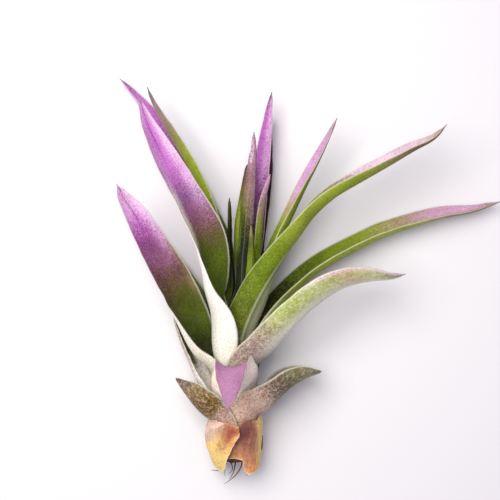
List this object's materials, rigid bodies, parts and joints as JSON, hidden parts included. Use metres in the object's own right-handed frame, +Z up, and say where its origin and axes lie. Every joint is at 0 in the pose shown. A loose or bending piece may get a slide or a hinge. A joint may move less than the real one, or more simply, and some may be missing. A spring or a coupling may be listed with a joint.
{
  "type": "tillandsia velutina air plant",
  "caption": "Small rosette air plant lying as picked: velvety channelled leaves, violet to green, spreading from a short sheathed stem with papery husks and wiry roots.",
  "frame": {"origin": "on the surface that the plant lies on, at the flat spot under its stem's torn end", "axes": "+Y along the stem towards the leaf tips, +X to the right of the plant seen from above, +Z up from the surface"},
  "size_m": [0.1179, 0.1258, 0.0313],
  "materials": {
    "green_leaf": "velvety, fine pale speckle",
    "violet_leaf": "velvety, violet turning green towards the base",
    "frosted_leaf": "velvety under a whitish frost of scales",
    "scurfy_leaf": "dull, with brown scurf",
    "husk": "dry and papery",
    "stem": "rough, torn end"
  },
  "bodies": {
    "root": {"stem_with_roots": "stem", "husk_under": "husk", "husk_right": "husk", "husk_left": "husk", "leaf_base_under": "scurfy_leaf", "leaf_base_left": "scurfy_leaf", "leaf_base_right": "scurfy_leaf", "leaf_outer_left": "scurfy_leaf", "leaf_front_recurved": "violet_leaf", "leaf_left": "violet_leaf", "leaf_front_left": "violet_leaf", "leaf_back_left_low": "violet_leaf", "leaf_heart_tall": "violet_leaf", "leaf_front_right": "frosted_leaf", "leaf_under_right": "green_leaf", "leaf_under_left": "green_leaf", "leaf_right_low": "green_leaf", "leaf_right_arching": "green_leaf", "leaf_right_upright": "green_leaf", "leaf_back_left_upright": "green_leaf", "leaf_heart_low": "green_leaf", "leaf_heart_sliver": "green_leaf", "leaf_heart_front": "green_leaf", "leaf_heart_right": "green_leaf", "leaf_heart_left": "green_leaf", "leaf_heart_newest": "green_leaf"}
  },
  "joints": []
}
